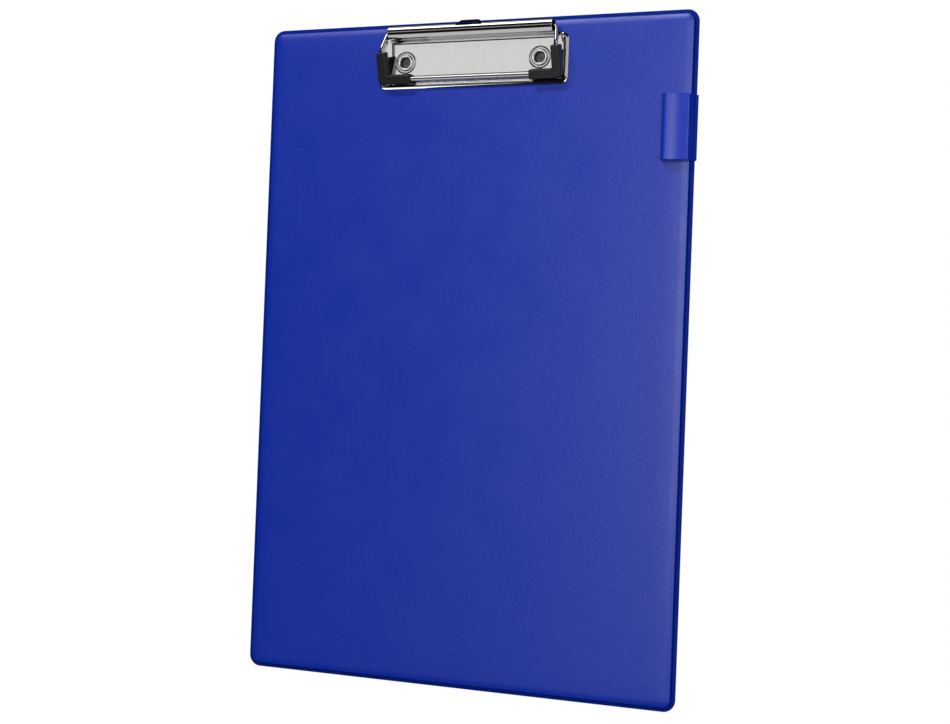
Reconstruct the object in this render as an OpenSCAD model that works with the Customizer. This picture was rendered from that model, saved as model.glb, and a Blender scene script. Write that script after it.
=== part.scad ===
// A PVC-covered clipboard with a chromed wire-bail clip, lying on its back.
// X runs to the right, Y towards the clip and Z out of the writing face. The
// origin is the middle of the board, on its back face. All sizes in millimetres.

/* [Board] */
// Width of the board over its welded seam
board_w = 233; // [190:1:280]
// Height of the board over its welded seam
board_h = 340; // [270:1:410]
// Corner radius of the board
board_r = 6; // [5:0.5:12]
// Thickness of the greyboard core
core_t = 2.4; // [2:0.1:4]
// Thickness of one PVC film
film_t = 0.35; // [0.2:0.01:0.6]
// Width of the welded seam outside the core
seam_w = 1.8; // [1.2:0.1:2.6]
// Width over which the front film rolls off to its edge
roll_w = 4; // [3:0.1:4.2]
// Slope of the film where that roll meets the tight shoulder, in degrees
roll_slope = 14; // [6:1:20]
// Radius of the tight shoulder at the top of the film's wall
shoulder_r = 0.9; // [0.6:0.1:1.2]

/* [Pen loop] */
// Length of the loop along the board's edge
loop_len = 32; // [20:1:60]
// Distance from the top edge of the board to the loop
loop_top = 42; // [30:1:90]
// Reach of the loop inwards from the board's edge
loop_reach = 15.6; // [13:0.1:24]
// Clear height inside the loop at its fold
loop_fold_h = 4.5; // [3.5:0.1:6]
// Slope of the upper run down towards its crease, in degrees
loop_slope = 18; // [10:1:26]
// Slope of the steep run from the crease down to the board's edge, in degrees
loop_land = 70; // [65:1:80]
// Length of that steep run
loop_steep = 3.6; // [2.8:0.1:4]
// Thickness of the loop's strip
loop_t = 0.5; // [0.3:0.05:0.8]
// How far the strip's welded ends stand past the board's edge
loop_tail = 1; // [0:0.1:2]

/* [Base plate] */
// Width of the base plate
plate_w = 103.6; // [90:0.2:125]
// Depth of the base plate, along the board
plate_d = 26.3; // [26:0.1:31]
// Thickness of the base plate
plate_t = 0.8; // [0.5:0.05:1]
// Outside radius of the bead round the base plate
bead_r = 1.6; // [1.3:0.1:1.8]
// Corner radius of the base plate
plate_r = 3.8; // [3.5:0.1:8]
// Distance from the barrel's axis to the base plate's back edge
plate_back = 2.2; // [1.8:0.1:4]

/* [Hinge plate] */
// How far the base plate reaches past the hinge plate at each side
hinge_side = 7.2; // [7:0.1:9]
// Depth of the flat panel in front of the barrel's bend
panel_d = 16.4; // [13.5:0.1:17.5]
// Corner radius of the panel
panel_r = 2; // [1:0.1:3]
// Thickness of the hinge plate
hinge_t = 0.85; // [0.6:0.05:1.05]
// Outside diameter of the rolled barrel
barrel_d = 7.5; // [7.3:0.1:9]
// Inside radius of the bend between the panel and the barrel
bend_in = 1.5; // [1:0.1:2]
// Distance from the top edge of the board to the barrel's axis
barrel_inset = 6.3; // [5.2:0.1:8]
// Height of the barrel's underside over the board
barrel_lift = 0.95; // [0.6:0.05:1.4]
// How far the barrel's curl runs on past its underside, in degrees
curl_past = 20; // [10:1:30]
// Width of the slot in the back of the barrel
slot_w = 14; // [13:0.5:18]
// Top of that slot, up from the back of the barrel, in degrees
slot_high = 62; // [50:1:70]

/* [Rivets] */
// Distance from each end of the hinge plate to the rivet's middle
rivet_side = 7.9; // [6.5:0.1:14]
// Distance from the front edge of the panel to the rivets' middle
rivet_front = 6.85; // [5.6:0.05:9]
// Outside diameter of the rivet's tube
rivet_d = 6.4; // [5.4:0.1:7.6]
// Bore of the rivet's tube
rivet_bore = 5.2; // [4.4:0.1:5.2]
// Diameter of the rivet's head on the back of the board
rivet_head_d = 10; // [8.4:0.2:12]
// Thickness of that head
rivet_head_t = 0.8; // [0.6:0.1:1]
// Section radius of the rolled rim on the front
rim_r = 0.9; // [0.7:0.05:1.1]
// Depth of the floor of the rivet's bore under the front face
rivet_floor = 0.4; // [0.2:0.05:0.8]
// Radius of the dimple in that floor
dimple_r = 0.5; // [0.3:0.05:0.7]
// Radius of the ring coined into the panel round each rivet
coin_r = 5.4; // [5:0.1:6.2]
// Depth of that ring
coin_depth = 0.3; // [0.1:0.05:0.4]

/* [Bail] */
// Diameter of the bail's wire
wire_d = 2.25; // [1.9:0.05:2.7]
// Distance from the side of the base plate to the middle of the bail's arm
bail_side = 4.5; // [4.2:0.1:4.6]
// How far the arms close in from the kinks to the pivots, on each side
arm_splay = 1.3; // [0.8:0.1:1.4]
// Distance from the crown of the base plate's front bead back to the front bar
bar_back = 3.2; // [2.8:0.1:3.6]
// Distance from the barrel's axis to the kink in the arms
kink_reach = 9; // [7.5:0.1:9.3]
// Fall of the arms between the kink and the front bar, in degrees
arm_fall = 18.5; // [15:0.5:21]
// Bend radius of the wire at the pivots and the kinks, to its middle
wire_bend = 2.6; // [2.2:0.1:3.2]
// Bend radius of the wire at the front corners, to its middle
corner_bend = 3; // [2.6:0.1:3.6]
// Distance from the middle of the barrel to the end of each pivot
pivot_start = 8; // [6.5:0.1:12]

/* [Grip sleeves] */
// Width of the sleeve's section, in the plane of the bail
sleeve_w = 4.8; // [4.2:0.1:5]
// Depth of the sleeve's section
sleeve_h = 4.8; // [4.2:0.1:6]
// Rounding of the section's corners
sleeve_round = 0.6; // [0.3:0.1:1]
// Length of the sleeve along the arm, from the outside of the corner
sleeve_arm = 16.4; // [13:0.1:16.6]
// Length of the sleeve along the front bar, from the outside of the corner
sleeve_bar = 17.2; // [14:0.1:22]
// Radius of the fillet inside the elbow
elbow_r = 1; // [0.5:0.1:2]

/* [Spring] */
// Diameter of the spring's wire
spring_wire = 1.3; // [1.1:0.05:1.4]
// Whole turns in each coil, before the part turn that ends it
spring_turns = 9; // [7:1:13]
// Width of the centre loop over its wire
spring_loop_w = 12; // [11:0.1:12.6]
// How far the centre loop stands off the barrel
spring_proud = 0.05; // [0:0.05:0.6]
// Bend radius of the spring's wire, to its middle
spring_bend = 1.1; // [0.9:0.05:1.3]
// Distance from the ends of the barrel to the ends of the spring
spring_inset = 0.4; // [0.2:0.1:2]

/* [Hidden] */
$fn = 72;

// clearances
fit_gap = 0.05; // between pieces that are pressed or riveted together
coil_gap = 0.15; // from the bail's pivot ends to the coils round them
rest_gap = 0.25; // from a sleeve to the base plate that it closes on
turn_gap = 0.06; // between the turns of the spring
slot_gap = 0.15; // from the spring's leaving wire to the slot's lower edge
plating = 0.01; // chrome on the wire
over = 1; // how far a cutter runs past what it cuts

// board
face_z = core_t + 2 * film_t; // the front face
seam_z = 2 * film_t; // the top of the welded seam
skin_r = board_r - seam_w; // corner radius of the front film's wall
roll = min(roll_w, skin_r);
wide_r = (roll - shoulder_r) / sin(roll_slope) + shoulder_r; // radius of the wide roll
// middles of the wide roll and the tight shoulder, across and up from the corner's centre
wide_at = [skin_r - roll, face_z - wide_r];
tight_at = [skin_r - shoulder_r, wide_at.y + (wide_r - shoulder_r) * cos(roll_slope)];

// clip
axis_y = board_h / 2 - barrel_inset;
axis_z = face_z + barrel_lift + barrel_d / 2;
barrel_in = barrel_d / 2 - hinge_t; // inside radius of the barrel
hinge_w = plate_w - 2 * hinge_side;
plate_y1 = axis_y - plate_back; // the plate's back edge lies under the barrel
plate_y0 = plate_y1 - plate_d;
panel_z = face_z + plate_t; // underside of the panel
bend_y = axis_y - barrel_d / 2 - bend_in; // centre line of the bend up to the barrel
rivet_y = bend_y - panel_d + rivet_front;
rivet_pitch = hinge_w - 2 * rivet_side;
rim_mid = (rivet_bore + 2 * rim_r) / 2;
well_r = rivet_head_d / 2 + fit_gap; // the well that the rivet's head sits in
well_h = rivet_head_t + fit_gap;

// bail, in the Y-Z plane from the axis forwards
bail_w = plate_w - 2 * bail_side; // between the middles of its two arms
bail_reach = plate_back + plate_d - bead_r - bar_back; // from the axis to the front bar
sleeve_low = (sleeve_h / 2 - sleeve_round) * cos(arm_fall)
    + (sleeve_w / 2 - sleeve_round) * sin(arm_fall) + sleeve_round;
bar_z = face_z + plate_t + rest_gap + sleeve_low;
kink_z = bar_z + (bail_reach - kink_reach) * tan(arm_fall);
arm_rise = atan2(kink_z - axis_z, kink_reach);
arm_back = norm([kink_reach, kink_z - axis_z]); // axis to kink
arm_front = (bail_reach - kink_reach) / cos(arm_fall); // kink to front bar
kink_turn = arm_rise + arm_fall;
kink_cut = wire_bend * tan(kink_turn / 2); // how much of each arm the kink's bend takes
back_run = arm_back - kink_cut; // axis to the start of the kink's bend
back_lean = atan2(arm_splay, back_run);
pivot_cut = wire_bend * tan((90 - back_lean) / 2);

// spring, round the barrel's axis
coil_r = wire_d / 2 + coil_gap + spring_wire / 2;
coil_pitch = spring_wire + turn_gap;
loop_mid_r = barrel_d / 2 + spring_proud + spring_wire / 2;
loop_angle = 15; // place of the centre loop, up from the back of the barrel
leave_angle = loop_angle - acos(coil_r / loop_mid_r); // where the coil's wire leaves for it
leg_angle = 92; // place of the outer legs, over the arms
slot_deep = coil_r + spring_wire / 2 + slot_gap; // from the axis to the slot's lower edge
spring_step = 30; // turn between the rings of the coil's mesh

// --- shapes that several pieces share ---------------------------------------------

// A section from the corner centre outwards, so far under the face of the front film:
// flat, then rolled off in a wide arc and a tight one, then upright.
module edge_section(under, low) {
    right = skin_r - under;
    high = face_z - under;
    turn = wide_at + (wide_r - under) * [sin(roll_slope), cos(roll_slope)];
    difference() {
        translate([0, low]) square([right, high - low]);
        difference() {
            translate([wide_at.x, turn.y - over]) square([turn.x - wide_at.x, 2 * over]);
            translate(wide_at) circle(wide_r - under);
        }
        difference() {
            translate([turn.x, tight_at.y]) square(face_z);
            translate(tight_at) circle(shoulder_r - under);
        }
    }
}

// sweeps a section round a rectangle with corners of radius r
module sweep_edge(w, h, r) {
    for (quarter = [0:3]) {
        along = quarter % 2 == 0 ? h : w;
        out = quarter % 2 == 0 ? w : h;
        rotate(quarter * 90) {
            translate([out / 2 - r, along / 2 - r, 0]) rotate_extrude(angle = 90) children();
            translate([out / 2 - r, along / 2 - r, 0]) rotate([90, 0, 0])
                linear_extrude(along - 2 * r) children();
        }
    }
}

module at_rivets() {
    for (side = [-1, 1]) translate([side * rivet_pitch / 2, rivet_y, 0]) children();
}

function arc(c, r, from, to, steps) =
    [for (i = [0:steps]) let (a = from + (to - from) * i / steps) c + r * [cos(a), sin(a)]];

function bezier(p, steps) =
    [for (i = [0:steps]) let (t = i / steps)
        pow(1 - t, 3) * p[0] + 3 * t * pow(1 - t, 2) * p[1]
        + 3 * t * t * (1 - t) * p[2] + pow(t, 3) * p[3]];

function unit(v) = v / norm(v);

// a wedge about the origin that reaches past radius r, narrower than 120 degrees
module wedge(r, from, to) {
    middle = (from + to) / 2;
    polygon([[0, 0], r * [cos(from), sin(from)], 2 * r * [cos(middle), sin(middle)],
        r * [cos(to), sin(to)]]);
}

// the outline of a strip of thickness t along a path in a plane
function ribbon(path, t) =
    let (
        n = len(path),
        side = [for (i = [0:n - 1])
            let (v = unit(path[min(i + 1, n - 1)] - path[max(i - 1, 0)])) [-v.y, v.x] * t / 2]
    )
    concat([for (i = [0:n - 1]) path[i] - side[i]], [for (i = [n - 1:-1:0]) path[i] + side[i]]);

// --- board -----------------------------------------------------------------------

module core_board() {
    color("tan") difference() {
        union() {
            sweep_edge(board_w, board_h, board_r) edge_section(film_t, film_t);
            translate([0, 0, film_t + core_t / 2])
                cube([board_w - 2 * board_r, board_h - 2 * board_r, core_t], center = true);
        }
        at_rivets() {
            translate([0, 0, -over]) cylinder(h = face_z + 2 * over, d = rivet_d + 2 * fit_gap);
            cylinder(h = well_h + film_t + fit_gap, r = well_r + film_t + fit_gap);
        }
    }
}

module front_cover() {
    color("mediumblue") difference() {
        union() {
            sweep_edge(board_w, board_h, board_r) {
                difference() {
                    edge_section(0, film_t);
                    edge_section(film_t, 0);
                }
                translate([skin_r - film_t, film_t]) square([seam_w + film_t, film_t]);
            }
            translate([0, 0, face_z - film_t / 2])
                cube([board_w - 2 * board_r, board_h - 2 * board_r, film_t], center = true);
        }
        at_rivets() cylinder(h = face_z + over, d = rivet_d + 2 * fit_gap);
    }
}

// the back film is pressed into a well under each rivet's head
module back_cover() {
    color("darkblue") difference() {
        union() {
            sweep_edge(board_w, board_h, board_r) square([board_r, film_t]);
            translate([0, 0, film_t / 2])
                cube([board_w - 2 * board_r, board_h - 2 * board_r, film_t], center = true);
            at_rivets() cylinder(h = well_h + film_t, r = well_r + film_t);
        }
        at_rivets() {
            translate([0, 0, -over]) cylinder(h = well_h + over, r = well_r);
            cylinder(h = face_z, d = rivet_d + 2 * fit_gap);
        }
    }
}

// A strip folded back on itself. Its lower run follows the film over the shoulder,
// its upper run falls from the fold to a crease and on steeply to the board's edge,
// and both ends are welded down on the seam.
module pen_loop() {
    half = loop_t / 2;
    weld_h = 1.2 * loop_t; // two layers pressed together
    fold_hold = 0.3 * loop_reach; // how long the upper run keeps level at the fold
    crease_hold = 0.25 * loop_reach; // and its slope at the crease
    crease_r = 0.8;
    lead = 90 - loop_land;
    right = board_w / 2;
    corner = [right - board_r, 0]; // where the film's section is measured from
    tight = corner + tight_at;
    wide = corner + wide_at;
    lift = 2 * fit_gap + half; // the lower run's middle, over the film
    upper_r = shoulder_r + lift + loop_t + fit_gap;
    weld_z = seam_z + fit_gap + weld_h / 2;
    fold_r = (loop_fold_h + loop_t) / 2;
    fold_at = [right - loop_reach + half + fold_r, face_z + lift + fold_r];
    lower = concat(
        [[tight.x + shoulder_r + lift, weld_z]],
        arc(tight, shoulder_r + lift, 0, 90 - roll_slope, 10),
        [for (i = [1:8]) arc(wide, wide_r + lift, 90 - roll_slope, 90, 8)[i]]);
    fold = arc(fold_at, fold_r, 270, 90, 22);
    out = [cos(lead), sin(lead)]; // away from the steep run
    crease_at = tight + (upper_r - crease_r) * out - loop_steep * [out.y, -out.x];
    crease = arc(crease_at, crease_r, 90 - loop_slope, lead, 8);
    upper = bezier([
        fold[22],
        fold[22] + [fold_hold, 0],
        crease[0] - crease_hold * [cos(loop_slope), -sin(loop_slope)],
        crease[0]], 24);
    strip = concat(lower, fold, [for (i = [1:23]) upper[i]], crease,
        arc(tight, upper_r, lead, 0, 6), [[tight.x + upper_r, weld_z]]);
    color("royalblue")
        translate([0, board_h / 2 - loop_top, 0]) rotate([90, 0, 0]) linear_extrude(loop_len)
            union() {
                polygon(ribbon(strip, loop_t));
                translate([right - seam_w + fit_gap, seam_z + fit_gap])
                    square([seam_w + loop_tail - fit_gap, weld_h]);
            }
}

// --- clip plates -----------------------------------------------------------------

// half of a round bead, open underneath, with its crown at x = 0
module bead_section() {
    intersection() {
        difference() {
            circle(bead_r);
            circle(bead_r - plate_t);
        }
        translate([-bead_r, 0]) square([2 * bead_r, bead_r]);
    }
}

// a pressed sheet, its bead open behind the hinge plate
module base_plate() {
    turn = plate_r - bead_r; // the crown's radius at the corners
    turn_x = plate_w / 2 - plate_r;
    low_y = plate_y0 + plate_r;
    high_y = plate_y1 - plate_r;
    sheet_r = turn - bead_r + plate_t; // the flat sheet reaches into the foot of the bead
    color("silver") translate([0, 0, face_z]) difference() {
        union() {
            for (s = [0, 1]) mirror([s, 0, 0]) {
                translate([turn_x + turn, high_y, 0]) rotate([90, 0, 0])
                    linear_extrude(high_y - low_y) bead_section();
                translate([turn_x, low_y, 0]) rotate([0, 0, -90])
                    rotate_extrude(angle = 90) translate([turn, 0]) bead_section();
                translate([turn_x, high_y, 0])
                    rotate_extrude(angle = 90) translate([turn, 0]) bead_section();
            }
            translate([-turn_x, low_y - turn, 0]) rotate([90, 0, 90])
                linear_extrude(2 * turn_x) bead_section();
            linear_extrude(plate_t) {
                translate([-turn_x - sheet_r, low_y])
                    square([2 * (turn_x + sheet_r), high_y - low_y]);
                translate([-turn_x, low_y - sheet_r])
                    square([2 * turn_x, plate_y1 - low_y + sheet_r]);
                for (x = [-turn_x, turn_x], y = [low_y, high_y]) translate([x, y]) circle(sheet_r);
            }
        }
        at_rivets() translate([0, 0, -over])
            cylinder(h = plate_t + 2 * over, d = rivet_d + 2 * fit_gap);
    }
}

// One sheet: the panel, the bend and the barrel curled over the top and back under.
module hinge_section() {
    wall_z = panel_z + hinge_t + bend_in; // where the bend has turned upright
    translate([bend_y - panel_d, panel_z]) square([panel_d, hinge_t]);
    intersection() {
        translate([bend_y, wall_z]) difference() {
            circle(bend_in + hinge_t);
            circle(bend_in);
        }
        translate([bend_y, panel_z]) square(bend_in + hinge_t);
    }
    translate([bend_y + bend_in, wall_z]) square([hinge_t, axis_z - wall_z]);
    translate([axis_y, axis_z]) difference() {
        circle(barrel_d / 2);
        circle(barrel_in);
        // open from the foot of the front wall to under the barrel
        intersection() {
            translate([-barrel_d, -barrel_d]) square([barrel_d, barrel_d]);
            wedge(barrel_d, 180, 270 - curl_past);
        }
    }
}

module hinge_plate() {
    coin_cut = 0.5; // section radius of the coined ring
    color("gainsboro") difference() {
        rotate([90, 0, 90]) translate([0, 0, -hinge_w / 2]) linear_extrude(hinge_w) hinge_section();
        at_rivets() {
            translate([0, 0, panel_z - over])
                cylinder(h = hinge_t + 2 * over, d = rivet_d + 2 * fit_gap);
            translate([0, 0, panel_z + hinge_t - coin_depth])
                rotate_extrude() translate([coin_r, coin_cut]) circle(coin_cut);
        }
        // the panel's front corners
        for (s = [0, 1]) mirror([s, 0, 0])
            translate([hinge_w / 2 - panel_r, bend_y - panel_d + panel_r, panel_z - over])
            linear_extrude(hinge_t + 2 * over) difference() {
                translate([0, -panel_r - over]) square(panel_r + over);
                circle(panel_r);
            }
        // the slot for the spring's centre loop, its lower edge along the loop's legs
        translate([-slot_w / 2, axis_y, axis_z]) rotate([90, 0, 90]) linear_extrude(slot_w)
            rotate(leave_angle) polygon([[0, 0], [slot_deep, 0], [slot_deep, barrel_d],
                barrel_d * [cos(slot_high - leave_angle), sin(slot_high - leave_angle)]]);
    }
}

// --- rivets ----------------------------------------------------------------------

// A semi-tubular rivet: its head lies in the back film's well and its rolled rim
// holds the panel. A small dimple marks the bottom of its bore.
module rivet() {
    top_z = panel_z + hinge_t + fit_gap;
    rim_z = top_z + 0.2; // middle of the rim's roll, which is pressed flat underneath
    floor_z = face_z - rivet_floor;
    color("whitesmoke") rotate_extrude() difference() {
        union() {
            square([rivet_head_d / 2, rivet_head_t]);
            square([rivet_d / 2, top_z + rim_r / 2]);
            intersection() {
                translate([rim_mid, rim_z]) circle(rim_r);
                translate([0, top_z]) square([rivet_head_d, 2 * rim_r]);
            }
        }
        translate([0, floor_z]) square([rivet_bore / 2, face_z + over]);
        translate([0, floor_z]) circle(dimple_r);
        // the rim rolls over into the bore
        translate([0, rim_z]) square([rim_mid - rim_r, 2 * rim_r]);
    }
}

// --- bail ------------------------------------------------------------------------

// a bend of the wire in the X-Y plane about the origin, from +X anticlockwise
module wire_turn(radius, angle) {
    rotate_extrude(angle = angle) translate([radius, 0]) circle(d = wire_d);
}

// stands its children in the plane of the back part of the arm, from the axis
module at_axis() {
    translate([0, axis_y, axis_z]) rotate([-arm_rise, 0, 0]) children();
}

// stands its children in the plane of the front part of the arm, from the front bar
module at_bar() {
    translate([0, axis_y - bail_reach, bar_z]) rotate([arm_fall, 0, 0]) children();
}

// a ball no thicker than the plating, which bridges two runs of the wire
module wire_ball() {
    sphere(d = wire_d + 2 * plating);
}

module bail_half() {
    arm_x = bail_w / 2;
    turn_x = arm_x - arm_splay - pivot_cut; // where the pivot starts to bend
    lean_run = norm([arm_splay, back_run]) - pivot_cut;
    at_axis() {
        translate([pivot_start, 0, 0]) rotate([0, 90, 0])
            cylinder(h = turn_x - pivot_start, d = wire_d);
        translate([turn_x, 0, 0]) wire_ball();
        translate([turn_x, -wire_bend, 0]) rotate([0, 0, back_lean])
            wire_turn(wire_bend, 90 - back_lean);
        translate([arm_x, -back_run, 0]) rotate([-90, 0, back_lean]) {
            wire_ball();
            cylinder(h = lean_run, d = wire_d);
            translate([0, 0, lean_run]) wire_ball();
        }
        // the kink turns the arm down towards the bar
        translate([arm_x, -back_run, -wire_bend]) rotate([180, -90, 0])
            wire_turn(wire_bend, kink_turn);
    }
    at_bar() {
        translate([arm_x, arm_front - kink_cut, 0]) rotate([90, 0, 0]) {
            wire_ball();
            cylinder(h = arm_front - kink_cut - corner_bend, d = wire_d);
        }
        translate([arm_x - corner_bend, corner_bend, 0]) rotate([0, 0, -90])
            wire_turn(corner_bend, 90);
        rotate([0, 90, 0]) cylinder(h = arm_x - corner_bend, d = wire_d);
    }
}

module bail() {
    color("white") {
        bail_half();
        mirror([1, 0, 0]) bail_half();
    }
}

module sleeve_section() {
    a = sleeve_w / 2 - sleeve_round;
    b = sleeve_h / 2 - sleeve_round;
    square([2 * a, sleeve_h], center = true);
    square([sleeve_w, 2 * b], center = true);
    for (x = [-a, a], y = [-b, b]) translate([x, y]) circle(sleeve_round);
}

// room for the wire round its corner
module sleeve_bore() {
    bore = wire_d + 2 * fit_gap;
    run = sleeve_arm + sleeve_bar;
    translate([0, corner_bend, 0]) rotate([-90, 0, 0]) cylinder(h = run, d = bore);
    translate([-corner_bend, corner_bend, 0]) rotate([0, 0, -90])
        rotate_extrude(angle = 90) translate([corner_bend, 0]) circle(d = bore);
    translate([-corner_bend, 0, 0]) rotate([0, -90, 0]) cylinder(h = run, d = bore);
}

// A moulded rubber elbow on the corner of the bail: two legs and a round corner.
module grip_sleeve() {
    half = sleeve_w / 2;
    flank = sleeve_h - 2 * sleeve_round; // the upright part of its sides
    color("dimgray") at_bar() translate([bail_w / 2, 0, 0]) difference() {
        union() {
            rotate([-90, 0, 0]) linear_extrude(sleeve_arm - half) sleeve_section();
            translate([half - sleeve_bar, 0, 0]) rotate([90, 0, 90])
                linear_extrude(sleeve_bar - half) sleeve_section();
            rotate([0, 0, -90]) rotate_extrude(angle = 90) intersection() {
                sleeve_section();
                translate([0, -sleeve_h]) square([sleeve_w, 2 * sleeve_h]);
            }
            // the fillet inside the elbow
            translate([-half - elbow_r, half + elbow_r, -flank / 2]) linear_extrude(flank)
                difference() {
                    translate([0, -elbow_r - over]) square(elbow_r + over);
                    circle(elbow_r);
                }
        }
        sleeve_bore();
    }
}

// --- spring ----------------------------------------------------------------------

// a point on the coil's cylinder, x along the barrel and a round it
function on_coil(x, a) = [x, coil_r * cos(a), coil_r * sin(a)];

// The right half of the spring about the barrel's axis, from the middle of its centre
// loop: the crossbar, a leg into the coil, the turns, and an outer leg along the pivot.
function spring_half() =
    let (
        loop_x = spring_loop_w / 2 - spring_wire / 2,
        bar_at = loop_mid_r * [0, cos(loop_angle), sin(loop_angle)],
        leave = [0, coil_r * cos(leave_angle), coil_r * sin(leave_angle)],
        into = unit(leave - bar_at),
        corner = [for (i = [0:6]) let (a = 15 * i)
            bar_at + [loop_x - spring_bend * (1 - sin(a)), 0, 0]
            + into * spring_bend * (1 - cos(a))],
        sweep = 360 * spring_turns + (leave_angle - leg_angle + 720) % 360,
        steps = ceil(sweep / spring_step),
        coil = [for (i = [0:steps]) let (s = i / steps)
            on_coil(loop_x + coil_pitch * sweep / 360 * s, leave_angle - sweep * s)],
        end_x = loop_x + coil_pitch * sweep / 360,
        end_a = leave_angle - sweep,
        ease_a = spring_bend / coil_r * 180 / PI,
        ease = [for (i = [1:5]) let (a = 18 * i)
            on_coil(end_x + spring_bend * (1 - cos(a)), end_a - ease_a * sin(a))]
    )
    concat([bar_at], corner, coil, ease, [on_coil(hinge_w / 2 - spring_inset, end_a - ease_a)]);

// carries a side direction along a path without twist
function carried(path, first) =
    [for (i = 0, s = first; i < len(path);
        s = let (v = unit(path[min(i + 2, len(path) - 1)] - path[i])) unit(s - (s * v) * v),
        i = i + 1) s];

module swept_wire(path, d, sides) {
    n = len(path);
    side = carried(path, [0, -sin(loop_angle), cos(loop_angle)]);
    points = [for (i = [0:n - 1])
        let (
            v = unit(path[min(i + 1, n - 1)] - path[max(i - 1, 0)]),
            s = unit(side[i] - (side[i] * v) * v),
            t = cross(v, s)
        )
        for (k = [0:sides - 1]) path[i] + d / 2 * (cos(360 * k / sides) * s
            + sin(360 * k / sides) * t)];
    faces = concat(
        [[for (k = [0:sides - 1]) k]],
        [for (i = [0:n - 2], k = [0:sides - 1])
            let (a = i * sides + k, b = i * sides + (k + 1) % sides)
            each [[a, a + sides, b], [b, a + sides, b + sides]]],
        [[for (k = [sides - 1:-1:0]) (n - 1) * sides + k]]);
    polyhedron(points, faces, convexity = 10);
}

module torsion_spring() {
    right = spring_half();
    left = [for (i = [len(right) - 1:-1:1]) [-right[i].x, right[i].y, right[i].z]];
    color("#222222") translate([0, axis_y, axis_z])
        swept_wire(concat(left, right), spring_wire, 8);
}

core_board();
front_cover();
back_cover();
pen_loop();
base_plate();
hinge_plate();
translate([-rivet_pitch / 2, rivet_y, 0]) rivet();  // rivet_left
translate([rivet_pitch / 2, rivet_y, 0]) rivet();  // rivet_right
bail();
mirror([1, 0, 0]) grip_sleeve();  // grip_sleeve_left
grip_sleeve();  // grip_sleeve_right
torsion_spring();
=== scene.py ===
import math
import bmesh
import bpy
from mathutils import Matrix, Vector, noise


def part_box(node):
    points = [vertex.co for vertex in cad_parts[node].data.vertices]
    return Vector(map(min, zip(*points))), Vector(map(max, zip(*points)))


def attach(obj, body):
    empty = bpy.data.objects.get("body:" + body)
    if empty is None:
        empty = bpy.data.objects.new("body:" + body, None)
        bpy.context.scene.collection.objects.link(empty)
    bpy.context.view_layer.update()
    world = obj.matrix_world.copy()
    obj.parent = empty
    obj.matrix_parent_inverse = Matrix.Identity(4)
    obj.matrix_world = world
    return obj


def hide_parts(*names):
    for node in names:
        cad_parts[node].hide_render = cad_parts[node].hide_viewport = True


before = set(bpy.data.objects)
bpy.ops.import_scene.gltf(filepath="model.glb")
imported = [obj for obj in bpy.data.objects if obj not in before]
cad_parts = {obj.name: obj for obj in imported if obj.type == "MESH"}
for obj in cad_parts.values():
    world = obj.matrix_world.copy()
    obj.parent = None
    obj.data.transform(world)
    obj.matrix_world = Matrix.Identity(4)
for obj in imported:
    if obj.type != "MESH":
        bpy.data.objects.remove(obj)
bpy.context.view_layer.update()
mm = 0.001  # the object's sizes are in millimetres; metres are made when a mesh is


# ---- helpers

mergeWithin, collapseWithin = 0.0005, 0.0002  # points and edges nearer than this are one
turnSides = 96  # of a turned piece or a round cutter


def sizesOf(node):
    low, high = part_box(node)
    return low / mm, high / mm


def arc(centre, radius, start, end, steps):
    # points on an arc, both ends included, angles in degrees
    turns = [math.radians(start + (end - start) * i / steps) for i in range(steps + 1)]
    return [(centre[0] + radius * math.cos(a), centre[1] + radius * math.sin(a)) for a in turns]


def addObject(name, data):
    made = bpy.data.objects.new(name, data)
    bpy.context.scene.collection.objects.link(made)
    return made


def addPiece(name, points, faces, material, sharpAngle=35):
    mesh = bpy.data.meshes.new(name)
    mesh.from_pydata([[c * mm for c in p] for p in points], [], faces)
    mesh.validate()
    mesh.materials.append(material)
    piece = addObject(name, mesh)
    tidyMesh(piece, sharpAngle)
    return piece


def tidyMesh(piece, sharpAngle):
    work = bmesh.new()
    work.from_mesh(piece.data)
    bmesh.ops.remove_doubles(work, verts=work.verts, dist=mergeWithin * mm)
    bmesh.ops.dissolve_degenerate(work, edges=work.edges, dist=collapseWithin * mm)
    bmesh.ops.recalc_face_normals(work, faces=work.faces)
    work.to_mesh(piece.data)
    work.free()
    piece.data.shade_smooth()
    piece.data.set_sharp_from_angle(angle=math.radians(sharpAngle))


def loftFaces(ringCount, ringSize, closedRings=True, closedLoft=False):
    # quads between neighbouring rings of equal size
    faces = []
    for i in range(ringCount if closedLoft else ringCount - 1):
        for k in range(ringSize if closedRings else ringSize - 1):
            a, b = i * ringSize, (i + 1) % ringCount * ringSize
            m = (k + 1) % ringSize
            faces.append([a + k, a + m, b + m, b + k])
    return faces


def stripEnd(start, size):
    # the cut end of a strip, as quads across its thickness
    return [[start + k, start + k + 1, start + size - 2 - k, start + size - 1 - k]
            for k in range(size // 2 - 1)]


def cutAway(piece, cutters, sharpAngle=35, operation="DIFFERENCE"):
    # exact booleans, kept as a plain mesh
    for cutter in cutters:
        modifier = piece.modifiers.new("cut", "BOOLEAN")
        modifier.operation = operation
        modifier.solver = "EXACT"
        modifier.object = cutter
        settle(piece)
        mesh = cutter.data
        bpy.data.objects.remove(cutter)
        bpy.data.meshes.remove(mesh)
    tidyMesh(piece, sharpAngle)


def settle(piece):
    # the evaluated result becomes the piece's own mesh
    depsgraph = bpy.context.evaluated_depsgraph_get()
    mesh = bpy.data.meshes.new_from_object(piece.evaluated_get(depsgraph), depsgraph=depsgraph)
    piece.modifiers.clear()
    piece.data = mesh


def evenNormals(piece):
    # large flat faces keep their own direction right up to their rounded edges
    modifier = piece.modifiers.new("even", "WEIGHTED_NORMAL")
    modifier.keep_sharp = True
    modifier.weight = 80
    settle(piece)


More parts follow.
